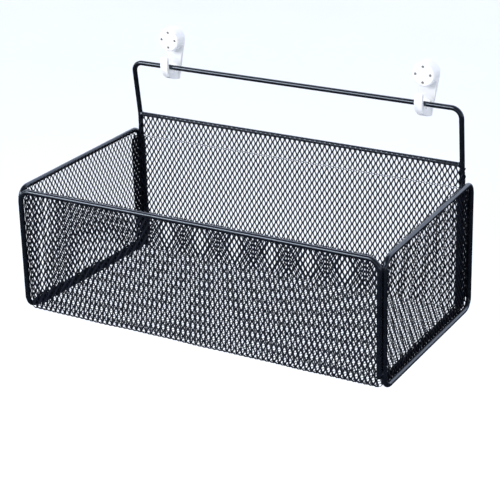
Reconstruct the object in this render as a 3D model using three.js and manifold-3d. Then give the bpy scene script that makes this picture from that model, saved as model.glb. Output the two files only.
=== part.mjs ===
// Wall basket of expanded-metal mesh on a welded wire frame, hung by its top rail in two nailed plastic hooks.
// Millimetres. +X right, +Y into the wall, +Z up. The origin lies on the wall face, midway between
// the hooks, at the height of the axis of the top rail.
import * as THREE from 'three';
import { mergeVertices } from 'three/addons/utils/BufferGeometryUtils.js';
import Module from 'manifold-3d';

const wasm = await Module();
wasm.setup();

// ---- driving dimensions ----
const GAP = 0.3; // clearance between neighbouring pieces
const WIRE_R = 2.25; // radius of the frame wires
const ROD_R = 2.0; // radius of the rod along the top of the back mesh
const BEND_R = 10; // centreline radius of the bends in the frame wires
const MESH_T = 1.2; // thickness over the twisted strands of the mesh

const REAR_HALF = 172; // half spacing of the rear uprights of the side frames
const FRONT_HALF = 178; // half spacing of their front uprights: the basket widens towards the front
const REAR_Y = -2.75; // uprights that lean on the wall
const DEPTH = 180; // from the rear uprights to the front ones
const BOTTOM_Z = -186; // centre of the bottom wires
const FRONT_HEIGHT = 112.5; // from the bottom wires to the top wires, at the front
const REAR_HEIGHT = 118; // the same at the back

const RAIL_Y = -15; // axis of the top rail, off the wall
const RAIL_HALF = 166.6; // half spacing of the uprights of the rear frame at the rail
const LEG_HALF = 165.7; // the same below the rod
const LEG_Y = -9; // the uprights below the rod
const ROD_Z = -52; // the rod, below the rail
const LEAN_RADIUS = 40; // the gentle bend where the uprights start to lean forward
const RAIL_BEND_R = 9;

const FRONT_FRAME_INSET = 2.8; // legs of the front frame, inwards of the side frames
const FRONT_FRAME_STEP = 3.9; // and in front of them

const FLANGE = 10; // width of the folded edges that lie against the side panels
const FLANGE_DROP = 4; // top of the folded edge at the back, below the side frames' top wires
const FOLD_R = 5; // outer radius of the folds in the mesh
const MESH_LAP = 2; // how far the mesh reaches past the axis of a wire it is welded to
const MESH_CORNER = 14; // from a corner of a mesh panel to where its rounding starts, along either edge
const FRONT_CORNER = 12; // the same at the top corners of the front

const HOOK_X = 128.8; // half spacing of the hooks
const BOSS_Z = 24.4; // centre of the round boss, above the rail
const BOSS_R = 10.8;
const BOSS_DEPTH = 12.6;
const BOSS_ROUND = 2; // rounding of the boss's front edge
const PLATE_T = 3;
const PLATE_BOTTOM_Z = -14.5;
const PLATE_BOTTOM_HALF = 3.9;
const FINGER_W = 7.5;
const CRADLE_R = 7.5; // inside radius of the hook, which the rail lies in
const CRADLE_Z = 1.9; // centre of that radius, above the rail
const FINGER_T = 3.8;
const FINGER_TOP_Z = 9.9;
const FINGER_TIP_R = 1.3;

const NAIL_CIRCLE_R = 7; // the nail heads lie on this circle
const NAIL_SPLAY = THREE.MathUtils.degToRad(1); // each nail leans outwards
const NAIL_LENGTH = 17;
const NAIL_SHANK_R = 0.55;
const NAIL_HEAD_R = 0.95;
const NAIL_HEAD_T = 0.9;
const NAIL_HEAD_TOP = 0.8; // top face of a head, as a share of its radius
const NAIL_POINT = 2;
const NAIL_SUNK = 0.5; // depth of the heads below the face of the boss

const WIRE_SIDES = 12;
const ARC_STEP = THREE.MathUtils.degToRad(15);
const CURVE_SEGMENTS = 10;
const ROUND_SEGMENTS = 4; // steps round the edge of the boss
const BOSS_SEGMENTS = 40;
const MERGE_DISTANCE = 1e-4;
const OVERSHOOT = 1; // how far cutters and halves reach past a face

// ---- values that follow from them ----
const FRONT_Y = REAR_Y - DEPTH;
const FRONT_FRAME_Y = FRONT_Y - FRONT_FRAME_STEP;
const FRONT_RAIL_Z = BOTTOM_Z + FRONT_HEIGHT;
const REAR_TOP_Z = BOTTOM_Z + REAR_HEIGHT;
const SIDE_OUT = FRONT_HALF - WIRE_R - GAP; // outer face of a side panel, at the front
const SIDE_IN = SIDE_OUT - MESH_T;
const WRAP_HALF = SIDE_IN - GAP; // half width of the wrapped sheet, at the front
const BACK_FACE_Y = LEG_Y - WIRE_R - GAP; // rear face of the sheet
const FRONT_FACE_Y = FRONT_FRAME_Y + WIRE_R + GAP; // front face of the sheet
const FLOOR_Z = BOTTOM_Z - WIRE_R + GAP; // underside of the sheet
const WRAP_TOP_Z = ROD_Z + ROD_R;
const CRADLE_Y = -PLATE_T - CRADLE_R;
const FINGER_FRONT_Y = CRADLE_Y - CRADLE_R - FINGER_T;

const X = new THREE.Vector3(1, 0, 0);
const Y = new THREE.Vector3(0, 1, 0);
const Z = new THREE.Vector3(0, 0, 1);

// ---- materials ----
const coated = (color, roughness) => () => new THREE.MeshStandardMaterial({ color, roughness, metalness: 0.3 });
const blackWire = coated(0x17181b, 0.42);
const blackMesh = coated(0x141518, 0.5);
const whitePlastic = () => new THREE.MeshStandardMaterial({ color: 0xf3f4f6, roughness: 0.35, metalness: 0 });
const nailSteel = () => new THREE.MeshStandardMaterial({ color: 0x85888d, roughness: 0.35, metalness: 0.9 });

// ---- solids and geometries ----
function toSolid(geometry) {
  const bare = geometry.clone();
  bare.deleteAttribute('normal');
  bare.deleteAttribute('uv');
  const merged = mergeVertices(bare, MERGE_DISTANCE);
  return new wasm.Manifold(new wasm.Mesh({
    numProp: 3,
    vertProperties: new Float32Array(merged.attributes.position.array),
    triVerts: new Uint32Array(merged.index.array),
  }));
}

function toGeometry(solid) {
  const mesh = solid.getMesh();
  const geometry = new THREE.BufferGeometry();
  geometry.setAttribute('position', new THREE.BufferAttribute(new Float32Array(mesh.vertProperties), 3));
  geometry.setIndex(new THREE.BufferAttribute(new Uint32Array(mesh.triVerts), 1));
  geometry.computeVertexNormals();
  return geometry;
}

// An outline drawn as (y, z), extruded from x = from to x = to.
function alongX(shape, from, to) {
  const geometry = new THREE.ExtrudeGeometry(shape, {
    depth: to - from, bevelEnabled: false, curveSegments: CURVE_SEGMENTS,
  });
  geometry.applyMatrix4(new THREE.Matrix4().makeBasis(Y, Z, X));
  return geometry.translate(from, 0, 0);
}

// An outline drawn as (x, z), extruded from the wall face forward.
function offTheWall(shape, depth) {
  const geometry = new THREE.ExtrudeGeometry(shape, {
    depth, bevelEnabled: false, curveSegments: CURVE_SEGMENTS,
  });
  return geometry.applyMatrix4(new THREE.Matrix4().makeBasis(X, Z, Y.clone().negate()));
}

// Narrows a geometry from its full width at the front uprights to the rear spacing at the rear ones.
function taper(geometry) {
  const position = geometry.attributes.position;
  for (let i = 0; i < position.count; i += 1) {
    const along = (position.getY(i) - FRONT_Y) / DEPTH;
    const scale = 1 - along * (FRONT_HALF - REAR_HALF) / FRONT_HALF;
    position.setX(i, position.getX(i) * scale);
  }
  return geometry;
}

// ---- bent wire ----
// A path of straight runs joined by round bends, with its stations only where the bends need them.
class BentPath extends THREE.Curve {
  constructor(corners) {
    super();
    this.points = [corners[0].at.clone()];
    this.tangents = [corners[1].at.clone().sub(corners[0].at).normalize()];
    for (let i = 1; i < corners.length - 1; i += 1) {
      this.addBend(corners[i - 1].at, corners[i].at, corners[i + 1].at, corners[i].radius);
    }
    this.points.push(corners[corners.length - 1].at.clone());
    this.tangents.push(this.tangents[this.tangents.length - 1].clone());
  }

  addBend(before, corner, after, radius) {
    const arriving = corner.clone().sub(before).normalize();
    const leaving = after.clone().sub(corner).normalize();
    const turn = arriving.angleTo(leaving);
    const start = corner.clone().addScaledVector(arriving, -radius * Math.tan(turn / 2));
    const inward = leaving.clone().addScaledVector(arriving, -leaving.dot(arriving)).normalize();
    const centre = start.clone().addScaledVector(inward, radius);
    const steps = Math.max(2, Math.ceil(turn / ARC_STEP));
    for (let i = 0; i <= steps; i += 1) {
      const angle = turn * i / steps;
      const outward = inward.clone().multiplyScalar(-Math.cos(angle)).addScaledVector(arriving, Math.sin(angle));
      this.points.push(centre.clone().addScaledVector(outward, radius));
      this.tangents.push(
        arriving.clone().multiplyScalar(Math.cos(angle)).addScaledVector(inward, Math.sin(angle)),
      );
    }
  }

  get steps() {
    return this.points.length - 1;
  }

  getPointAt(u, target = new THREE.Vector3()) {
    return target.copy(this.points[Math.round(u * this.steps)]);
  }

  getTangentAt(u, target = new THREE.Vector3()) {
    return target.copy(this.tangents[Math.round(u * this.steps)]);
  }
}

const corner = (x, y, z, radius = BEND_R) => ({ at: new THREE.Vector3(x, y, z), radius });

function wire(corners, radius = WIRE_R) {
  const section = new THREE.Shape();
  for (let i = 0; i < WIRE_SIDES; i += 1) {
    const angle = (i + 0.5) * 2 * Math.PI / WIRE_SIDES;
    section[i ? 'lineTo' : 'moveTo'](radius * Math.cos(angle), radius * Math.sin(angle));
  }
  const path = new BentPath(corners);
  return new THREE.ExtrudeGeometry(section, { extrudePath: path, steps: path.steps, bevelEnabled: false });
}

// A closed frame, made as two halves that run from the middle of the bottom wire to the middle of the top one.
function closedFrame(bottomFront, topFront, topRear, bottomRear) {
  const middle = (a, b, past) => {
    const at = a.at.clone().lerp(b.at, 0.5);
    return { at: at.add(b.at.clone().sub(a.at).setLength(past)), radius: 0 };
  };
  const front = wire([
    middle(bottomFront, bottomRear, OVERSHOOT), bottomFront, topFront, middle(topFront, topRear, OVERSHOOT),
  ]);
  const rear = wire([
    middle(bottomRear, bottomFront, OVERSHOOT), bottomRear, topRear, middle(topRear, topFront, OVERSHOOT),
  ]);
  return toGeometry(toSolid(front).add(toSolid(rear)));
}

// ---- the basket's wires ----
function sideFrame(side) {
  return closedFrame(
    corner(side * FRONT_HALF, FRONT_Y, BOTTOM_Z),
    corner(side * FRONT_HALF, FRONT_Y, FRONT_RAIL_Z),
    corner(side * REAR_HALF, REAR_Y, REAR_TOP_Z),
    corner(side * REAR_HALF, REAR_Y, BOTTOM_Z),
  );
}

// The front rail with its legs, which stand in front of the side frames' uprights.
function frontFrame() {
  const half = FRONT_HALF - FRONT_FRAME_INSET;
  const foot = BOTTOM_Z + BEND_R;
  return wire([
    corner(-half, FRONT_FRAME_Y, foot),
    corner(-half, FRONT_FRAME_Y, FRONT_RAIL_Z),
    corner(half, FRONT_FRAME_Y, FRONT_RAIL_Z),
    corner(half, FRONT_FRAME_Y, foot),
  ]);
}

// The tall rear frame: its uprights rise behind the back of the basket and lean out to the top rail.
function rearFrame() {
  const upright = (side) => [
    corner(side * LEG_HALF, LEG_Y, BOTTOM_Z),
    corner(side * LEG_HALF, LEG_Y, ROD_Z, LEAN_RADIUS),
    corner(side * RAIL_HALF, RAIL_Y, 0, RAIL_BEND_R),
  ];
  return wire([...upright(-1), ...upright(1).reverse()]);
}

function backTopRod() {
  const half = LEG_HALF - WIRE_R - GAP;
  return wire([corner(-half, LEG_Y, ROD_Z), corner(half, LEG_Y, ROD_Z)], ROD_R);
}

// ---- the basket's mesh panels ----
// One sheet makes the back, the bottom and the front. This is its section, from the top of the back round to
// the top of the front.
function wrapSection() {
  const topFrontZ = FRONT_RAIL_Z + MESH_LAP;
  const inner = FOLD_R - MESH_T;
  const backFoldY = BACK_FACE_Y - FOLD_R;
  const frontFoldY = FRONT_FACE_Y + FOLD_R;
  const foldZ = FLOOR_Z + FOLD_R;
  const section = new THREE.Shape();
  section.moveTo(BACK_FACE_Y, WRAP_TOP_Z);
  section.lineTo(BACK_FACE_Y - MESH_T, WRAP_TOP_Z);
  section.absarc(backFoldY, foldZ, inner, 0, -Math.PI / 2, true);
  section.absarc(frontFoldY, foldZ, inner, -Math.PI / 2, -Math.PI, true);
  section.lineTo(FRONT_FACE_Y + MESH_T, topFrontZ);
  section.lineTo(FRONT_FACE_Y, topFrontZ);
  section.absarc(frontFoldY, foldZ, FOLD_R, Math.PI, Math.PI * 1.5, false);
  section.absarc(backFoldY, foldZ, FOLD_R, -Math.PI / 2, 0, false);
  return section;
}

// The edge strip folded up from the bottom and forward from the back, flat against a side panel.
function flangeOutline() {
  const back = BACK_FACE_Y - MESH_T / 2;
  const low = FLOOR_Z + MESH_T / 2;
  const top = REAR_TOP_Z - FLANGE_DROP;
  const front = FRONT_FACE_Y + FOLD_R;
  const outline = new THREE.Shape();
  outline.moveTo(back, top);
  outline.lineTo(back - FLANGE, top);
  outline.lineTo(back - FLANGE, low + FLANGE);
  outline.lineTo(front, low + FLANGE);
  outline.lineTo(front, low);
  outline.lineTo(back - FOLD_R, low);
  outline.lineTo(back, low + FOLD_R);
  outline.closePath();
  return outline;
}

function meshWrap() {
  const sheet = toSolid(alongX(wrapSection(), -WRAP_HALF, WRAP_HALF));
  const left = toSolid(alongX(flangeOutline(), -WRAP_HALF, -WRAP_HALF + MESH_T));
  const right = toSolid(alongX(flangeOutline(), WRAP_HALF - MESH_T, WRAP_HALF));
  const whole = sheet.add(left).add(right);
  return taper(toGeometry(whole.subtract(toSolid(frontCorner(-1))).subtract(toSolid(frontCorner(1)))));
}

// What is cut from a top corner of the front, so that it stays behind the bend of the front wire.
function frontCorner(side) {
  const top = FRONT_RAIL_Z + MESH_LAP;
  const outline = new THREE.Shape();
  outline.moveTo(side * (WRAP_HALF - FRONT_CORNER), top);
  outline.quadraticCurveTo(side * WRAP_HALF, top, side * WRAP_HALF, top - FRONT_CORNER);
  outline.lineTo(side * (WRAP_HALF + OVERSHOOT), top - FRONT_CORNER);
  outline.lineTo(side * (WRAP_HALF + OVERSHOOT), top + OVERSHOOT);
  outline.lineTo(side * (WRAP_HALF - FRONT_CORNER), top + OVERSHOOT);
  outline.closePath();
  return offTheWall(outline, MESH_T + 2 * OVERSHOOT).translate(0, FRONT_FACE_Y + MESH_T + OVERSHOOT, 0);
}

// A closed outline whose corners are rounded to follow the bends in the wires.
function roundedOutline(corners) {
  const outline = new THREE.Shape();
  corners.forEach((at, i) => {
    const before = corners[(i + corners.length - 1) % corners.length];
    const after = corners[(i + 1) % corners.length];
    const start = at.clone().add(before.clone().sub(at).setLength(MESH_CORNER));
    const end = at.clone().add(after.clone().sub(at).setLength(MESH_CORNER));
    outline[i ? 'lineTo' : 'moveTo'](start.x, start.y);
    outline.quadraticCurveTo(at.x, at.y, end.x, end.y);
  });
  outline.closePath();
  return outline;
}

function sideMesh(side) {
  const rearY = REAR_Y + MESH_LAP;
  const frontY = FRONT_FACE_Y + MESH_T + GAP;
  const slope = (REAR_TOP_Z - FRONT_RAIL_Z) / DEPTH;
  const topAt = (y) => FRONT_RAIL_Z + slope * (y - FRONT_Y) + MESH_LAP;
  const outline = roundedOutline([
    new THREE.Vector2(rearY, BOTTOM_Z - MESH_LAP),
    new THREE.Vector2(rearY, topAt(rearY)),
    new THREE.Vector2(frontY, topAt(frontY)),
    new THREE.Vector2(frontY, BOTTOM_Z - MESH_LAP),
  ]);
  const geometry = side > 0 ? alongX(outline, SIDE_IN, SIDE_OUT) : alongX(outline, -SIDE_OUT, -SIDE_IN);
  return taper(geometry);
}

// ---- hooks and nails ----
function hookPlate() {
  const reach = Math.hypot(PLATE_BOTTOM_HALF, BOSS_Z - PLATE_BOTTOM_Z);
  const down = Math.atan2(PLATE_BOTTOM_Z - BOSS_Z, PLATE_BOTTOM_HALF);
  const tangent = down + Math.acos(BOSS_R / reach); // where the straight edge leaves the round top
  const outline = new THREE.Shape();
  outline.moveTo(-PLATE_BOTTOM_HALF, PLATE_BOTTOM_Z);
  outline.lineTo(PLATE_BOTTOM_HALF, PLATE_BOTTOM_Z);
  outline.absarc(0, BOSS_Z, BOSS_R, tangent, Math.PI - tangent, false);
  return offTheWall(outline, PLATE_T);
}

function hookBoss() {
  const profile = new THREE.Path();
  profile.moveTo(0, 0);
  profile.lineTo(BOSS_R, 0);
  profile.absarc(BOSS_R - BOSS_ROUND, BOSS_DEPTH - BOSS_ROUND, BOSS_ROUND, 0, Math.PI / 2, false);
  profile.lineTo(0, BOSS_DEPTH);
  const boss = new THREE.LatheGeometry(profile.getPoints(ROUND_SEGMENTS), BOSS_SEGMENTS);
  return boss.rotateX(Math.PI).translate(0, 0, BOSS_Z);
}

// The cradle and finger that hold the rail, drawn as (y, z).
function hookCradle() {
  const fingerY = CRADLE_Y - CRADLE_R;
  const tipZ = FINGER_TOP_Z - FINGER_TIP_R;
  const tipY = fingerY - FINGER_TIP_R;
  const outline = new THREE.Shape();
  outline.moveTo(0, PLATE_BOTTOM_Z);
  outline.absellipse(
    0, CRADLE_Z, -FINGER_FRONT_Y, CRADLE_Z - PLATE_BOTTOM_Z, -Math.PI / 2, -Math.PI, true,
  );
  outline.absarc(tipY, tipZ, FINGER_TIP_R, Math.PI, 0, true);
  outline.absarc(CRADLE_Y, CRADLE_Z, CRADLE_R, Math.PI, 2 * Math.PI, false);
  outline.lineTo(0, CRADLE_Z);
  outline.closePath();
  return alongX(outline, -FINGER_W / 2, FINGER_W / 2);
}

const nailAngles = [0, 1, 2, 3].map((quarter) => quarter * Math.PI / 2);

// Puts a piece that was made along +Y from the face of the boss at one of the four nail holes.
function placeNail(object, angle) {
  const outward = new THREE.Vector3(Math.cos(angle), 0, Math.sin(angle));
  const direction = Y.clone().multiplyScalar(Math.cos(NAIL_SPLAY)).addScaledVector(outward, Math.sin(NAIL_SPLAY));
  object.position.copy(outward).multiplyScalar(NAIL_CIRCLE_R).add(new THREE.Vector3(0, -BOSS_DEPTH, BOSS_Z));
  object.quaternion.setFromUnitVectors(Y, direction);
  object.updateMatrix();
  return object;
}

function roundBar(radius, from, to) {
  return new THREE.CylinderGeometry(radius, radius, to - from, WIRE_SIDES).translate(0, (from + to) / 2, 0);
}

function nail() {
  const end = NAIL_SUNK + NAIL_LENGTH;
  const profile = [
    [0, NAIL_SUNK], [NAIL_HEAD_R * NAIL_HEAD_TOP, NAIL_SUNK], [NAIL_HEAD_R, NAIL_SUNK + NAIL_HEAD_T / 3],
    [NAIL_HEAD_R, NAIL_SUNK + NAIL_HEAD_T], [NAIL_SHANK_R, NAIL_SUNK + NAIL_HEAD_T],
    [NAIL_SHANK_R, end - NAIL_POINT], [0, end],
  ].map(([radius, along]) => new THREE.Vector2(radius, along));
  return new THREE.LatheGeometry(profile, WIRE_SIDES);
}

function hookBody() {
  let body = toSolid(hookPlate()).add(toSolid(hookBoss())).add(toSolid(hookCradle()));
  const hole = roundBar(NAIL_SHANK_R + GAP, -OVERSHOOT, BOSS_DEPTH + 2 * OVERSHOOT);
  const recess = roundBar(NAIL_HEAD_R + GAP, -OVERSHOOT, NAIL_SUNK + NAIL_HEAD_T + GAP);
  const placer = new THREE.Object3D();
  for (const angle of nailAngles) {
    placeNail(placer, angle);
    body = body.subtract(toSolid(hole.clone().applyMatrix4(placer.matrix)));
    body = body.subtract(toSolid(recess.clone().applyMatrix4(placer.matrix)));
  }
  return toGeometry(body);
}

// ---- the assembly ----
const group = new THREE.Group();

function addPiece(parent, name, geometry, material) {
  const mesh = new THREE.Mesh(geometry, material());
  mesh.name = name;
  parent.add(mesh);
  return mesh;
}

addPiece(group, 'rear_frame_wire', rearFrame(), blackWire);
addPiece(group, 'back_top_rod', backTopRod(), blackWire);
addPiece(group, 'front_frame_wire', frontFrame(), blackWire);
addPiece(group, 'mesh_wrap', meshWrap(), blackMesh);
for (const [name, side] of [['left', -1], ['right', 1]]) {
  addPiece(group, `${name}_side_frame`, sideFrame(side), blackWire);
  addPiece(group, `${name}_side_mesh`, sideMesh(side), blackMesh);

  const hookGroup = new THREE.Group();
  hookGroup.position.x = side * HOOK_X;
  group.add(hookGroup);
  addPiece(hookGroup, `${name}_hook`, hookBody(), whitePlastic);
  nailAngles.forEach((angle, i) => {
    placeNail(addPiece(hookGroup, `${name}_nail_${i + 1}`, nail(), nailSteel), angle);
  });
}

export default group;
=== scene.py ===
"""Looks for the hanging file rack: expanded-metal mesh, coated wires with their welds, nail-on hooks."""
import math

import bmesh
import bpy
import numpy as np
from mathutils import Matrix, Vector, noise


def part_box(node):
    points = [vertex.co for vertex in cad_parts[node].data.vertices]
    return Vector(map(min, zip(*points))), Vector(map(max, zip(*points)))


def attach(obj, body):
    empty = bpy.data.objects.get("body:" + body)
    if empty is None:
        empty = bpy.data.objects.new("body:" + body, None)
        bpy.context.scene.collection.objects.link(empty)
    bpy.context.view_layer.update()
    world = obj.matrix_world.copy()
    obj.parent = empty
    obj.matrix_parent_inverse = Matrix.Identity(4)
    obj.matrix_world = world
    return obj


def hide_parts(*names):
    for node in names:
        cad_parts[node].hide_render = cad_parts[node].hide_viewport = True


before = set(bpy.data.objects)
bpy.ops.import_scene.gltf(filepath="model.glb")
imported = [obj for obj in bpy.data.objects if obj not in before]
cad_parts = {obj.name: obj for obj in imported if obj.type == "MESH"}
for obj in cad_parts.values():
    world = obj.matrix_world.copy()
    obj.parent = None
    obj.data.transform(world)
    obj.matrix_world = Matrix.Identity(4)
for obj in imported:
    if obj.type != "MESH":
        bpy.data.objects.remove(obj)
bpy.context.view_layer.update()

MM = 0.001
GAP = 0.3 * MM

# ---- sizes read from the frame ----
rod_lo, rod_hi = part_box("back_top_rod")
rear_lo, rear_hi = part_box("rear_frame_wire")
front_lo, front_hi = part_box("front_frame_wire")
side_lo, side_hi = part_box("right_side_frame")
wrap_lo, wrap_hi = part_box("mesh_wrap")
panel_lo, panel_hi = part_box("right_side_mesh")

WIRE_R = 2.25 * MM
ROD_R = 2.0 * MM
BEND_R = 10 * MM
RAIL_BEND_R = 9 * MM
LEAN_R = 40 * MM
FOLD_R = 4.4 * MM  # folds of the sheet, at the middle of its thickness
EDGE_R = 1.2 * MM  # the sharper folds along its sides

FRONT_Y = side_lo.y + WIRE_R
REAR_Y = side_hi.y - WIRE_R
FRONT_HALF = side_hi.x - WIRE_R
REAR_HALF = side_lo.x + WIRE_R
BOTTOM_Z = side_lo.z + WIRE_R
REAR_TOP_Z = side_hi.z - WIRE_R
FRONT_RAIL_Z = front_hi.z - WIRE_R
FRONT_FRAME_Y = front_lo.y + WIRE_R
FRONT_FRAME_HALF = front_hi.x - WIRE_R
RAIL_Y = rear_lo.y + WIRE_R
RAIL_Z = rear_hi.z - WIRE_R
RAIL_HALF = rear_hi.x - WIRE_R
ROD_Y = (rod_lo.y + rod_hi.y) / 2
ROD_Z = (rod_lo.z + rod_hi.z) / 2
LEG_HALF = rod_hi.x + GAP + WIRE_R

# ---- the expanded metal ----
SHORT_WAY = 5.1 * MM  # across a diamond
LONG_WAY = 8.1 * MM  # along it
STRAND_W = 1.42 * MM
STRAND_T = 0.45 * MM
HEM_STRAND_W = 1.9 * MM  # strands are crushed wider where the sheet is folded back on itself
BOND_HALF = 0.6 * MM  # half length of the bonds, where two strands run side by side
SHEET_TILT = math.radians(-18)  # how far the strands lean out of the back and the floor
FRONT_TILT = math.radians(15)  # out of the front
PANEL_TILT = math.radians(15)  # and out of the side panels
HEM_SQUEEZE = 0.35  # the strands lie flatter where the sheet is rolled round the rod
SHEET_SET_IN = 0.6 * MM  # how far the strands' middle lies inside the face of the sheet's CAD slab
PANEL_SET_IN = 0.4 * MM  # and inside the outer face of a side panel's
SHEET_RIPPLE = 0.18 * MM
PANEL_RIPPLE = 0.15 * MM
FLANGE = 9 * MM
CORNER_R = BEND_R - 0.4 * MM  # the mesh's own corners, behind the bends in the wires
PANEL_LAP = 1.6 * MM  # how far the mesh passes the axis of a top wire
RETURN_W = 12 * MM  # the side panels' own edge, folded back along the rear
FLANGE_TOP_Z = REAR_TOP_Z - 4 * MM
HEM = 3 * MM  # how far the sheet comes down again behind the rod
UPRIGHT_WRAP = 6 * MM  # and how far it goes round the rear uprights
HEM_CLEAR = 0.15 * MM  # from the rod to the middle of the sheet round it
STEP_BACK = 6 * MM  # the height in which the sheet goes over from the uprights' front to the back's plane
TOP_LAP = 3 * MM  # how far down the sheet stays as wide as the rod
FOLD_CUT = 2 * MM  # the folded edges stop this far from the folds across the sheet
PAST_FOLD = 0.8  # where one piece of the sheet hands over to the next, as a share of the fold's radius
WRAP_TOP_Z = FRONT_RAIL_Z + 2 * MM
RETURN_OFF = 0.75 * MM  # from a side panel to its folded edge
RETURN_DROP = 1 * MM  # and from the loop's top to it
CUT_FRONT = 0.8 * MM  # how far inside the panel's ends the strands stop
CUT_REAR = 1.2 * MM


def half_width(y):
    """Half the width between the side frames' centrelines."""
    return FRONT_HALF + (REAR_HALF - FRONT_HALF) * (y - FRONT_Y) / (REAR_Y - FRONT_Y)


# from a side frame's centreline to the middle of the sheet's folded edges, and of the side panel
SHEET_INSET = FRONT_HALF - wrap_hi.x + SHEET_SET_IN
PANEL_INSET = FRONT_HALF - panel_hi.x + PANEL_SET_IN


def ripple(a, b, height):
    """The slight waviness of thin stretched sheet, for arrays of places on it."""
    broad = np.sin(a * 61 + 1.3) * np.sin(b * 83 + 0.4)
    fine = 0.6 * np.sin(a * 127 + b * 45) + 0.4 * np.sin(b * 171 - a * 39)
    return height * (broad + fine)


def zigzag(strand, count, start, width, tilt):
    """Places along one strand, two for each bond it passes: across, along and through the sheet."""
    rows = np.arange(count)
    left = (rows + strand) % 2 == 0
    across = (strand + np.where(left, 0, 1)) * SHORT_WAY / 2
    sign = np.where(left, 1, -1)
    across = across + sign * width / 2 * math.cos(tilt)
    through = sign * width / 2 * math.sin(tilt)
    along = start + rows * LONG_WAY / 2
    s = np.repeat(across, 2)
    n = np.repeat(through, 2)
    t = np.stack([along - BOND_HALF, along + BOND_HALF], 1).ravel()
    return s, t, n


CORNERS = [(-0.5, -0.5), (0.5, -0.5), (0.5, 0.5), (-0.5, 0.5)]  # of a strand's section: width, thickness


def add_strand(verts, faces, s, t, n, width, tilt, place):
    """One closed strip of metal through the places, put on the sheet by place(s, t, n)."""
    first = len(verts)
    for wide, thick in CORNERS:
        ds = wide * width * math.cos(tilt) - thick * STRAND_T * math.sin(tilt)
        dn = wide * width * math.sin(tilt) + thick * STRAND_T * math.cos(tilt)
        verts.extend(zip(*place(s + ds, t, n + dn)))
    stations = len(s)
    ring = [first + k * stations for k in range(4)]
    for i in range(stations - 1):
        for k in range(4):
            a, b = ring[k] + i, ring[(k + 1) % 4] + i
            faces.append((a, b, b + 1, a + 1))
    faces.append(tuple(r for r in reversed(ring)))
    faces.append(tuple(r + stations - 1 for r in ring))


def runs(valid):
    """The stretches of True in an array, as (first, past the last)."""
    edges = np.flatnonzero(np.diff(np.concatenate([[0], valid.astype(int), [0]])))
    return zip(edges[::2], edges[1::2])


def expanded(name, s_limits, t_limits, place, valid, tilt, trim=None, width=STRAND_W, cut=None):
    """A sheet of expanded metal between the limits, as far as valid(s, t) says.

    trim(s) gives the lowest and highest t where they change along the sheet; cut is where its sides end.
    """
    verts, faces = [], []
    first = math.floor(2 * s_limits[0] / SHORT_WAY)
    last = math.ceil(2 * s_limits[1] / SHORT_WAY)
    start = math.floor(t_limits[0] / LONG_WAY) * LONG_WAY
    count = math.ceil((t_limits[1] - start) / (LONG_WAY / 2)) + 1
    for strand in range(first, last):
        s, t, n = zigzag(strand, count, start, width, tilt)
        low, high = trim(s) if trim else t_limits
        t = np.clip(t, low, high)
        inside = valid(s, t) & (t > low) & (t < high)
        grown = inside.copy()
        grown[1:] |= inside[:-1] & (t[1:] != t[:-1])
        grown[:-1] |= inside[1:] & (t[1:] != t[:-1])
        if cut:
            s = np.clip(s, *cut)
        for a, b in runs(grown):
            if b - a > 1:
                add_strand(verts, faces, s[a:b], t[a:b], n[a:b], width, tilt, place)
    return make_mesh(name, verts, faces)


def add_object(name, data):
    obj = bpy.data.objects.new(name, data)
    bpy.context.scene.collection.objects.link(obj)
    return obj


def add_bmesh(name, bm):
    mesh = bpy.data.meshes.new(name)
    bm.to_mesh(mesh)
    bm.free()
    return add_object(name, mesh)


def make_mesh(name, verts, faces):
    mesh = bpy.data.meshes.new(name)
    mesh.from_pydata([tuple(v) for v in verts], [], faces)
    mesh.validate()
    mesh.update()
    return add_object(name, mesh)


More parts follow.
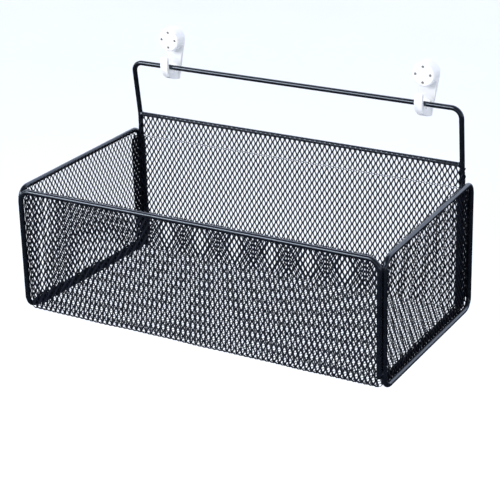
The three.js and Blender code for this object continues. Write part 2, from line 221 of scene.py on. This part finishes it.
class SheetProfile:
    """The wrapped sheet's section: from behind the rod over it, down the back, forward, up the front."""

    def __init__(self):
        back_y = wrap_hi.y - SHEET_SET_IN
        front_y = wrap_lo.y + SHEET_SET_IN
        floor_z = wrap_lo.z + SHEET_SET_IN
        hem_r = ROD_R + HEM_CLEAR
        upright_front = ROD_Y - WIRE_R - GAP
        self.pieces = []
        self.length = 0.0
        self.marks = {}
        self.line((ROD_Y + hem_r, ROD_Z - HEM), (ROD_Y + hem_r, ROD_Z))
        self.arc((ROD_Y, ROD_Z), hem_r, 0, math.pi)
        self.marks["top"] = self.length
        self.line((ROD_Y - hem_r, ROD_Z), (upright_front, FLANGE_TOP_Z))
        self.marks["flange_top"] = self.length
        self.line((upright_front, FLANGE_TOP_Z), (back_y, FLANGE_TOP_Z - STEP_BACK))
        self.line((back_y, FLANGE_TOP_Z - STEP_BACK), (back_y, floor_z + FOLD_R))
        self.marks["back_fold"] = self.length
        self.arc((back_y - FOLD_R, floor_z + FOLD_R), FOLD_R, 0, -math.pi / 2)
        self.marks["floor"] = self.length
        self.line((back_y - FOLD_R, floor_z), (front_y + FOLD_R, floor_z))
        self.marks["front_fold"] = self.length
        self.arc((front_y + FOLD_R, floor_z + FOLD_R), FOLD_R, -math.pi / 2, -math.pi)
        self.marks["front"] = self.length
        self.line((front_y, floor_z + FOLD_R), (front_y, WRAP_TOP_Z))

    def line(self, a, b):
        a, b = np.array(a), np.array(b)
        size = float(np.hypot(*(b - a)))
        self.pieces.append((self.length, self.length + size, "line", a, (b - a) / size))
        self.length += size

    def arc(self, centre, radius, a, b):
        size = abs(b - a) * radius
        self.pieces.append((self.length, self.length + size, "arc", np.array(centre), (radius, a, b)))
        self.length += size

    def at(self, t):
        """y and z of the places, and the direction out of the basket there."""
        y, z, ny, nz = (np.zeros_like(t) for _ in range(4))
        for number, (low, high, kind, origin, shape) in enumerate(self.pieces):
            here = (t >= low) & (t < high)
            if number == 0:
                here |= t < low
            if number == len(self.pieces) - 1:
                here |= t >= high
            if kind == "line":
                y[here] = origin[0] + shape[0] * (t[here] - low)
                z[here] = origin[1] + shape[1] * (t[here] - low)
                ny[here] = -shape[1]
                nz[here] = shape[0]
            else:
                radius, a, b = shape
                angle = a + (b - a) * (t[here] - low) / (high - low)
                out = 1 if b < a else -1
                y[here] = origin[0] + radius * np.cos(angle)
                z[here] = origin[1] + radius * np.sin(angle)
                ny[here] = out * np.cos(angle)
                nz[here] = out * np.sin(angle)
        return y, z, ny, nz


profile = SheetProfile()


def place_on_top(s, t, n):
    """Bends the top of the back: over the rod, and round the uprights of the rear frame at the sides."""
    y, z, ny, nz = profile.at(t)
    n = np.where(t < profile.marks["top"], n * HEM_SQUEEZE, n)
    around = np.abs(y - ROD_Y)
    turn = np.clip((np.abs(s) - LEG_HALF) / np.maximum(around, ROD_R), 0, None)
    x = np.minimum(np.abs(s), LEG_HALF) + (around + n) * np.sin(turn)
    back = (around + n) * (1 - np.cos(turn))
    return np.sign(s) * x, y + ny * n + back, z + nz * n


def place_on_sheet(s, t, n):
    """Bends a flat place on the sheet into shape: the profile, and the folded edges along the sides."""
    y, z, ny, nz = profile.at(t)
    half = half_width(y) - SHEET_INSET
    turn = np.clip((np.abs(s) - (half - EDGE_R)) / EDGE_R, 0, math.pi / 2)
    beyond = np.clip(np.abs(s) - half + EDGE_R - EDGE_R * math.pi / 2, 0, None)
    flat = np.minimum(np.abs(s), half - EDGE_R)
    inward = EDGE_R * (1 - np.cos(turn)) + beyond
    n = n + ripple(s, t, SHEET_RIPPLE) * np.cos(turn)
    x = np.sign(s) * (flat + EDGE_R * np.sin(turn) + n * np.sin(turn))
    off = n * np.cos(turn) - inward
    return x, y + ny * off, z + nz * off


def sheet_covers(s, t):
    """Inside the sheet's outline: folded edges on back and floor, and round corners at the front's top."""
    y = profile.at(t)[0]
    half = half_width(y) - SHEET_INSET
    marks = profile.marks
    on_back = (t > marks["flange_top"]) & (t < marks["back_fold"] - FOLD_CUT)
    on_floor = (t > marks["floor"] + FOLD_CUT) & (t < marks["front_fold"] - FOLD_CUT)
    wrapped = (t > marks["top"] + TOP_LAP) & (t < marks["flange_top"])
    edge = np.where(on_back | on_floor, half + FLANGE, np.where(wrapped, LEG_HALF + UPRIGHT_WRAP, half))
    edge = np.where(t < marks["top"] + TOP_LAP, rod_hi.x, edge)
    corner_s = np.abs(s) - (FRONT_FRAME_HALF - BEND_R)
    corner_t = t - (profile.length - (WRAP_TOP_Z - FRONT_RAIL_Z) - BEND_R)
    beyond = (corner_s > 0) & (corner_t > 0) & (np.hypot(corner_s, corner_t) > CORNER_R)
    return (np.abs(s) < edge) & ~beyond


def make_sheet():
    widest = FRONT_HALF - SHEET_INSET + FLANGE
    marks = profile.marks
    to_floor = marks["back_fold"] + FOLD_R * PAST_FOLD
    to_front = marks["front_fold"] + FOLD_R * PAST_FOLD
    parts = [
        ("back_top_mesh", (marks["top"], marks["flange_top"]), place_on_top, SHEET_TILT),
        ("back_mesh", (marks["flange_top"], to_floor), place_on_sheet, SHEET_TILT),
        ("floor_mesh", (to_floor, to_front), place_on_sheet, SHEET_TILT),
        ("front_mesh", (to_front, profile.length), place_on_sheet, FRONT_TILT),
    ]
    across = (-widest, widest)
    return [expanded(name, across, span, place, sheet_covers, tilt) for name, span, place, tilt in parts]


def make_rod_hem():
    """The top of the sheet, rolled tight round the rod, which shows through its openings."""
    edge = rod_hi.x
    span = (0.0, profile.marks["top"])
    return expanded("rod_hem", (-edge, edge), span, place_on_top, sheet_covers, 0.0)


def panel_place(side, inset, shift=0.0):
    """Gives the place(s, t, n) of a side panel: s runs from front to rear and t upwards."""
    def place(s, t, n):
        x = side * (half_width(s) - inset + n + ripple(s, t, PANEL_RIPPLE))
        return x, s + shift, t
    return place


def panel_trim(s):
    """Lowest and highest places of a side panel, whose top edge rises to the rear."""
    slope = (REAR_TOP_Z - FRONT_RAIL_Z) / (REAR_Y - FRONT_Y)
    return panel_lo.z, FRONT_RAIL_Z + slope * (s - FRONT_Y) + PANEL_LAP


def panel_covers(s, t):
    """Inside a side panel's outline, which follows the bends of the side frame round its corners."""
    inside = (s > panel_lo.y) & (s < panel_hi.y)
    for corner_y, forward in ((FRONT_Y + BEND_R, -1), (REAR_Y - BEND_R, 1)):
        top = panel_trim(corner_y)[1] - PANEL_LAP
        for corner_z, upward in ((BOTTOM_Z + BEND_R, -1), (top - BEND_R, 1)):
            away_y = (s - corner_y) * forward
            away_z = (t - corner_z) * upward
            inside &= ~((away_y > 0) & (away_z > 0) & (np.hypot(away_y, away_z) > CORNER_R))
    return inside


PANEL_CUT = (panel_lo.y + CUT_FRONT, panel_hi.y - CUT_REAR)


def make_panel_return(side):
    """The side panel's own edge, folded back flat along the bottom and the rear."""
    def valid(s, t):
        low = t < panel_lo.z + FLANGE
        back = (s > panel_hi.y - RETURN_W) & (t < REAR_TOP_Z - RETURN_DROP)
        return (low | back) & panel_covers(s, t)

    place = panel_place(side, PANEL_INSET + RETURN_OFF, SHORT_WAY / 4)
    name = ("left" if side < 0 else "right") + "_panel_return"
    s_limits, t_limits = (panel_lo.y, panel_hi.y), (panel_lo.z, REAR_TOP_Z)
    return expanded(name, s_limits, t_limits, place, valid, 0.0, width=HEM_STRAND_W, cut=PANEL_CUT)


def make_side_panel(side):
    place = panel_place(side, PANEL_INSET)
    name = ("left" if side < 0 else "right") + "_panel_mesh"
    s_limits, t_limits = (panel_lo.y, panel_hi.y), (panel_lo.z, panel_hi.z)
    tilt = -side * PANEL_TILT
    return expanded(name, s_limits, t_limits, place, panel_covers, tilt, trim=panel_trim, cut=PANEL_CUT)


# ---- bent wires ----
WIRE_SIDES = 20
SOFT_END = 0.25  # of a wire's radius, taken off the edge where it was cut
ROD_STATIONS = 12


def bend(before, corner, after, radius, step=math.radians(7.5)):
    """Points of a round bend at a corner."""
    arriving = (corner - before).normalized()
    leaving = (after - corner).normalized()
    turn = arriving.angle(leaving)
    start = corner - arriving * radius * math.tan(turn / 2)
    inward = (leaving - arriving * leaving.dot(arriving)).normalized()
    centre = start + inward * radius
    count = max(2, math.ceil(turn / step))
    points = []
    for i in range(count + 1):
        angle = turn * i / count
        points.append(centre - inward * radius * math.cos(angle) + arriving * radius * math.sin(angle))
    return points


def route(corners, closed=False):
    """A path through corners (place, bend radius); the ends of an open one have no bend."""
    places = [Vector(place) for place, _ in corners]
    points = []
    count = len(corners)
    for i, (_, radius) in enumerate(corners):
        if closed or 0 < i < count - 1:
            points += bend(places[i - 1], places[i], places[(i + 1) % count], radius)
        else:
            points.append(places[i])
    return points


def wire(name, points, radius, closed=False):
    """A round wire along the points, with softened ends where it was cut."""
    count = len(points)
    tangents = []
    for i in range(count):
        ahead = points[(i + 1) % count] if closed or i < count - 1 else points[i]
        behind = points[i - 1] if closed or i > 0 else points[i]
        tangents.append((ahead - behind).normalized())
    side = tangents[0].orthogonal().normalized()
    stations = []
    for point, tangent in zip(points, tangents):
        side = (side - tangent * side.dot(tangent)).normalized()
        stations.append((point, tangent, side, radius))
    if not closed:
        cut = SOFT_END * radius
        p, t, d, _ = stations[0]
        stations[0] = (p + t * cut, t, d, radius)
        stations.insert(0, (p, t, d, radius - cut))
        p, t, d, _ = stations[-1]
        stations[-1] = (p - t * cut, t, d, radius)
        stations.append((p, t, d, radius - cut))
    bm = bmesh.new()
    rings = []
    for point, tangent, d, r in stations:
        across = tangent.cross(d)
        ring = []
        for k in range(WIRE_SIDES):
            angle = 2 * math.pi * k / WIRE_SIDES
            ring.append(bm.verts.new(point + (d * math.cos(angle) + across * math.sin(angle)) * r))
        rings.append(ring)
    pairs = list(zip(rings, rings[1:])) + ([(rings[-1], rings[0])] if closed else [])
    for a, b in pairs:
        for k in range(WIRE_SIDES):
            bm.faces.new((a[k], a[(k + 1) % WIRE_SIDES], b[(k + 1) % WIRE_SIDES], b[k]))
    if not closed:
        bm.faces.new(list(reversed(rings[0])))
        bm.faces.new(rings[-1])
    for face in bm.faces:
        face.smooth = len(face.verts) == 4
    return add_bmesh(name, bm)


def side_frame_route(side):
    return route([
        ((side * FRONT_HALF, FRONT_Y, BOTTOM_Z), BEND_R),
        ((side * FRONT_HALF, FRONT_Y, FRONT_RAIL_Z), BEND_R),
        ((side * REAR_HALF, REAR_Y, REAR_TOP_Z), BEND_R),
        ((side * REAR_HALF, REAR_Y, BOTTOM_Z), BEND_R),
    ], closed=True)


def front_frame_route():
    foot = front_lo.z
    return route([
        ((-FRONT_FRAME_HALF, FRONT_FRAME_Y, foot), 0),
        ((-FRONT_FRAME_HALF, FRONT_FRAME_Y, FRONT_RAIL_Z), BEND_R),
        ((FRONT_FRAME_HALF, FRONT_FRAME_Y, FRONT_RAIL_Z), BEND_R),
        ((FRONT_FRAME_HALF, FRONT_FRAME_Y, foot), 0),
    ])


def rear_frame_route():
    def upright(side):
        return [
            ((side * LEG_HALF, ROD_Y, rear_lo.z), 0),
            ((side * LEG_HALF, ROD_Y, ROD_Z), LEAN_R),
            ((side * RAIL_HALF, RAIL_Y, RAIL_Z), RAIL_BEND_R),
        ]

    return route(upright(-1) + upright(1)[::-1])


def rod_route():
    half = rod_hi.x
    return [Vector((x, ROD_Y, ROD_Z)) for x in np.linspace(-half, half, ROD_STATIONS)]


# ---- welds ----
FRONT_BEAD = (1.9 * MM, 2.0 * MM, 3.2 * MM)
REAR_BEAD = (1.8 * MM, 1.8 * MM, 2.4 * MM)
ROD_BEAD = (1.6 * MM, 2.3 * MM, 2.5 * MM)


def add_bead(bm, at, size, seed):
    """A lump of weld: a ball squeezed to size and roughened."""
    made = bmesh.ops.create_icosphere(bm, subdivisions=3, radius=1.0)["verts"]
    for v in made:
        lump = 1 + 0.22 * noise.noise(v.co * 1.8 + Vector((seed * 7.1, 0, 0)))
        v.co = Vector(at) + Vector(v.co[i] * size[i] * lump for i in range(3))


def make_welds():
    """Beads where the front and rear wires meet the side loops, and at the rod's ends."""
    bm = bmesh.new()
    mid_y = (FRONT_FRAME_Y + FRONT_Y) / 2
    seed = 0
    for side in (-1, 1):
        mid_x = side * (FRONT_FRAME_HALF + FRONT_HALF) / 2
        for z in (FRONT_RAIL_Z - BEND_R * 0.7, BOTTOM_Z + BEND_R * 1.3):
            add_bead(bm, (mid_x, mid_y, z), FRONT_BEAD, seed)
            seed += 1
        rear_x = side * (LEG_HALF + WIRE_R * 0.9)
        for z in (REAR_TOP_Z - BEND_R * 0.9, BOTTOM_Z + BEND_R * 1.2):
            add_bead(bm, (rear_x, (REAR_Y + ROD_Y) / 2, z), REAR_BEAD, seed)
            seed += 1
        rod_end = (side * (rod_hi.x + 0.4 * MM), ROD_Y - 0.5 * MM, ROD_Z)
        add_bead(bm, rod_end, ROD_BEAD, seed)
        seed += 1
    for face in bm.faces:
        face.smooth = True
    return add_bmesh("weld_beads", bm)


# ---- hooks ----
HOOK_VOXEL = 0.35 * MM


def soften(node, name, voxel):
    """A moulded copy of a CAD node, with its edges rounded."""
    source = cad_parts[node]
    obj = add_object(name, source.data.copy())
    obj.data.materials.clear()
    remesh = obj.modifiers.new("skin", "REMESH")
    remesh.mode = "VOXEL"
    remesh.voxel_size = voxel
    remesh.use_smooth_shade = True
    smooth = obj.modifiers.new("soft_edges", "SMOOTH")
    smooth.factor = 0.5
    smooth.iterations = 4
    bpy.context.view_layer.update()
    evaluated = obj.evaluated_get(bpy.context.evaluated_depsgraph_get())
    mesh = bpy.data.meshes.new_from_object(evaluated)
    obj.modifiers.clear()
    obj.data = mesh
    return obj


# ---- materials ----
class Nodes:
    """A few short ways to build a material's nodes."""

    def __init__(self, name):
        self.material = bpy.data.materials.new(name)
        self.material.use_nodes = True
        self.tree = self.material.node_tree
        self.shader = self.tree.nodes["Principled BSDF"]
        self.coords = self.tree.nodes.new("ShaderNodeTexCoord").outputs["Object"]

    def link(self, a, b):
        self.tree.links.new(a, b)

    def noise(self, scale, detail=2.0, roughness=0.5):
        node = self.tree.nodes.new("ShaderNodeTexNoise")
        node.inputs["Scale"].default_value = scale
        node.inputs["Detail"].default_value = detail
        node.inputs["Roughness"].default_value = roughness
        self.link(self.coords, node.inputs["Vector"])
        return node.outputs["Fac"]

    def ramp(self, fac, stops):
        node = self.tree.nodes.new("ShaderNodeValToRGB")
        ramp = node.color_ramp
        while len(ramp.elements) < len(stops):
            ramp.elements.new(0.5)
        for element, (place, colour) in zip(ramp.elements, stops):
            element.position = place
            element.color = (*colour, 1)
        self.link(fac, node.inputs["Fac"])
        return node.outputs["Color"]

    def spread(self, fac, low, high):
        node = self.tree.nodes.new("ShaderNodeMapRange")
        node.inputs["From Min"].default_value = 0.3
        node.inputs["From Max"].default_value = 0.7
        node.inputs["To Min"].default_value = low
        node.inputs["To Max"].default_value = high
        self.link(fac, node.inputs["Value"])
        return node.outputs["Result"]

    def bump(self, height, strength, distance, under=None):
        node = self.tree.nodes.new("ShaderNodeBump")
        node.inputs["Strength"].default_value = strength
        node.inputs["Distance"].default_value = distance
        self.link(height, node.inputs["Height"])
        if under:
            self.link(under, node.inputs["Normal"])
        return node.outputs["Normal"]


def coated_steel(name, dark, light, rough, gloss):
    """Black powder coat: faintly cloudy, with a fine orange peel."""
    n = Nodes(name)
    clouds = n.noise(90, 3)
    n.link(n.ramp(clouds, [(0.35, dark), (0.7, light)]), n.shader.inputs["Base Color"])
    n.link(n.spread(n.noise(260, 2), rough - 0.05, rough + 0.08), n.shader.inputs["Roughness"])
    peel = n.bump(n.noise(2600, 1), 0.25, 0.05 * MM)
    n.link(n.bump(n.noise(700, 2), 0.2, 0.08 * MM, peel), n.shader.inputs["Normal"])
    n.shader.inputs["Specular IOR Level"].default_value = gloss
    n.shader.inputs["Specular Tint"].default_value = (0.72, 0.84, 1.0, 1)
    return n.material


def moulded_plastic(name):
    """White plastic, a little cloudy and soft under its surface."""
    n = Nodes(name)
    tones = [(0.3, (0.80, 0.82, 0.86)), (0.7, (0.86, 0.875, 0.90))]
    n.link(n.ramp(n.noise(120, 3), tones), n.shader.inputs["Base Color"])
    n.link(n.spread(n.noise(400, 2), 0.3, 0.42), n.shader.inputs["Roughness"])
    n.link(n.bump(n.noise(1500, 2), 0.12, 0.05 * MM), n.shader.inputs["Normal"])
    n.shader.inputs["Subsurface Weight"].default_value = 0.15
    n.shader.inputs["Subsurface Radius"].default_value = (0.9, 0.9, 1.0)
    n.shader.inputs["Subsurface Scale"].default_value = 1.2 * MM
    return n.material


def nail_steel(name):
    """Grey hard steel, unevenly polished."""
    n = Nodes(name)
    tones = [(0.3, (0.30, 0.29, 0.29)), (0.7, (0.45, 0.44, 0.44))]
    n.link(n.ramp(n.noise(900, 3), tones), n.shader.inputs["Base Color"])
    n.link(n.spread(n.noise(1500, 2), 0.28, 0.5), n.shader.inputs["Roughness"])
    n.link(n.bump(n.noise(2200, 2), 0.3, 0.04 * MM), n.shader.inputs["Normal"])
    n.shader.inputs["Metallic"].default_value = 0.7
    return n.material


def painted_floor(name):
    n = Nodes(name)
    tones = [(0.3, (0.86, 0.89, 0.92)), (0.7, (0.88, 0.91, 0.94))]
    n.link(n.ramp(n.noise(2, 2), tones), n.shader.inputs["Base Color"])
    n.shader.inputs["Roughness"].default_value = 0.9
    return n.material


def dress(obj, material, slot, body, *nodes):
    """Gives a piece its material and its body, and hides the CAD nodes that it stands for. The slot is not
    used.
    """
    obj.data.materials.clear()
    obj.data.materials.append(material)
    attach(obj, body)
    if nodes:
        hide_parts(*nodes)
    return obj


WIRE_COAT = coated_steel("wire_coat", (0.003, 0.004, 0.007), (0.006, 0.008, 0.013), 0.20, 0.95)
MESH_COAT = coated_steel("mesh_coat", (0.003, 0.004, 0.008), (0.006, 0.008, 0.016), 0.40, 0.25)
PLASTIC = moulded_plastic("white_moulding")
STEEL = nail_steel("hard_nail_steel")

for piece in make_sheet():
    dress(piece, MESH_COAT, "black_mesh", "basket", "mesh_wrap")
dress(make_rod_hem(), MESH_COAT, "black_mesh", "basket", "mesh_wrap")
for side, word in ((-1, "left"), (1, "right")):
    dress(make_side_panel(side), MESH_COAT, "black_mesh", "basket", f"{word}_side_mesh")
    dress(make_panel_return(side), MESH_COAT, "black_mesh", "basket", f"{word}_side_mesh")
    loop = wire(f"{word}_side_wire", side_frame_route(side), WIRE_R, closed=True)
    dress(loop, WIRE_COAT, "black_wire", "basket", f"{word}_side_frame")
    hook = soften(f"{word}_hook", f"{word}_wall_hook", HOOK_VOXEL)
    dress(hook, PLASTIC, "white_plastic", "wall_hooks", f"{word}_hook")
dress(wire("front_wire", front_frame_route(), WIRE_R), WIRE_COAT, "black_wire", "basket", "front_frame_wire")
dress(wire("rear_wire", rear_frame_route(), WIRE_R), WIRE_COAT, "black_wire", "basket", "rear_frame_wire")
dress(wire("hem_rod", rod_route(), ROD_R), WIRE_COAT, "black_wire", "basket", "back_top_rod")
dress(make_welds(), WIRE_COAT, "black_wire", "basket")
for name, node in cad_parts.items():
    if "nail" in name:
        node.data.materials.clear()
        node.data.materials.append(STEEL)

# ---- stage, light and camera ----
CAMERA_AZIMUTH = math.radians(30.87)
CAMERA_ELEVATION = math.radians(22.03)
CAMERA_ROLL = math.radians(-1.42)
CAMERA_AT = Vector((732.28, -1315.17, 445.55)) * MM
CAMERA_LENS = 125.5
FLOOR_Z = -0.75
FLOOR_REACH = 60


def direction(azimuth, elevation):
    """Points from the object at that angle: azimuth 0 is straight in front, 90 degrees is the right."""
    flat = math.cos(elevation)
    return Vector((math.sin(azimuth) * flat, -math.cos(azimuth) * flat, math.sin(elevation)))


def make_floor():
    bm = bmesh.new()
    bmesh.ops.create_grid(bm, x_segments=8, y_segments=8, size=FLOOR_REACH)
    floor = add_bmesh("floor", bm)
    floor.location.z = FLOOR_Z
    floor.data.materials.append(painted_floor("floor_paint"))
    floor.visible_glossy = False


def add_softbox(name, at, look, size, power):
    """A wide rectangular light that looks at a place; size is its width and height."""
    light = bpy.data.lights.new(name, "AREA")
    light.shape = "RECTANGLE"
    light.size, light.size_y = size
    light.energy = power
    obj = add_object(name, light)
    obj.location = at
    obj.rotation_mode = "QUATERNION"
    obj.rotation_quaternion = (Vector(look) - Vector(at)).to_track_quat("-Z", "Y")


def add_skylight(name, azimuth, elevation, strength, spread):
    """Soft daylight that lights the scene but leaves no reflection of itself."""
    light = bpy.data.lights.new(name, "SUN")
    light.energy = strength
    light.angle = spread
    obj = add_object(name, light)
    obj.rotation_mode = "QUATERNION"
    obj.rotation_quaternion = (-direction(azimuth, elevation)).to_track_quat("-Z", "Y")
    obj.visible_glossy = False


HORIZON = 0.13  # sine of the height up to which the surroundings are pale
FLOOR_EDGE = 0.05  # how far below the horizon they start, well under the far edge of the floor
PALE = (0.95, 0.97, 1.0, 1)
BRIGHT = (1.4, 1.5, 1.75, 1)
DIM = (0.06, 0.066, 0.08, 1)
DARK = (0.02, 0.022, 0.03, 1)
BLACK = (0, 0, 0, 1)
WHITE = (1, 1, 1, 1)


def make_world():
    """The surroundings: pale at the horizon, a bright wall behind above it, dim elsewhere, dark below."""
    world = bpy.data.worlds.new("studio")
    world.use_nodes = True
    tree = world.node_tree

    def ramp(source, stops):
        node = tree.nodes.new("ShaderNodeValToRGB")
        while len(node.color_ramp.elements) < len(stops):
            node.color_ramp.elements.new(0.5)
        for element, (place, colour) in zip(node.color_ramp.elements, stops):
            element.position = place
            element.color = colour
        tree.links.new(source, node.inputs["Fac"])
        return node.outputs["Color"]

    def mix(kind, factor, a, b):
        node = tree.nodes.new("ShaderNodeMix")
        node.data_type = "RGBA"
        node.blend_type = kind
        node.inputs["Factor"].default_value = factor
        tree.links.new(a, node.inputs["A"])
        tree.links.new(b, node.inputs["B"])
        return node.outputs["Result"]

    looking = tree.nodes.new("ShaderNodeSeparateXYZ")
    tree.links.new(tree.nodes.new("ShaderNodeTexCoord").outputs["Generated"], looking.inputs["Vector"])
    raised = tree.nodes.new("ShaderNodeMath")
    raised.operation = "ADD"
    raised.inputs[1].default_value = FLOOR_EDGE
    tree.links.new(looking.outputs["Z"], raised.inputs[0])
    band_top = HORIZON + FLOOR_EDGE
    stops = [(0.0, DARK), (0.01, PALE), (band_top, PALE), (band_top + 0.05, DIM)]
    band = ramp(raised.outputs["Value"], stops)
    behind = ramp(looking.outputs["Y"], [(0.15, BLACK), (0.55, BRIGHT)])
    above = ramp(looking.outputs["Z"], [(0.0, BLACK), (0.05, WHITE)])
    behind_above = mix("MULTIPLY", 1.0, behind, above)
    tree.links.new(mix("LIGHTEN", 1.0, band, behind_above), tree.nodes["Background"].inputs["Color"])
    bpy.context.scene.world = world


def make_camera():
    back = direction(CAMERA_AZIMUTH, CAMERA_ELEVATION)
    right = Vector((math.cos(CAMERA_AZIMUTH), math.sin(CAMERA_AZIMUTH), 0))
    up = back.cross(right)
    turned = Matrix((
        right * math.cos(CAMERA_ROLL) + up * math.sin(CAMERA_ROLL),
        up * math.cos(CAMERA_ROLL) - right * math.sin(CAMERA_ROLL),
        back,
    )).transposed()
    data = bpy.data.cameras.new("camera")
    data.lens = CAMERA_LENS
    data.clip_start = 0.05
    data.clip_end = 300
    camera = add_object("camera", data)
    camera.matrix_world = Matrix.Translation(CAMERA_AT) @ turned.to_4x4()
    bpy.context.scene.camera = camera


make_floor()
make_camera()
make_world()
bpy.context.scene.view_settings.view_transform = "Standard"
SKY_SPREAD = math.radians(95)
sun = {"azimuth": math.radians(-30), "elevation": math.radians(60)}
fill = {"azimuth": math.radians(70), "elevation": math.radians(40)}
add_skylight("daylight", **sun, strength=1.5, spread=SKY_SPREAD)
add_skylight("daylight_fill", **fill, strength=0.8, spread=SKY_SPREAD)
add_softbox("key", at=(-1.15, -1.9, 0.9), look=(0, -0.1, -0.1), size=(1.9, 0.9), power=46)
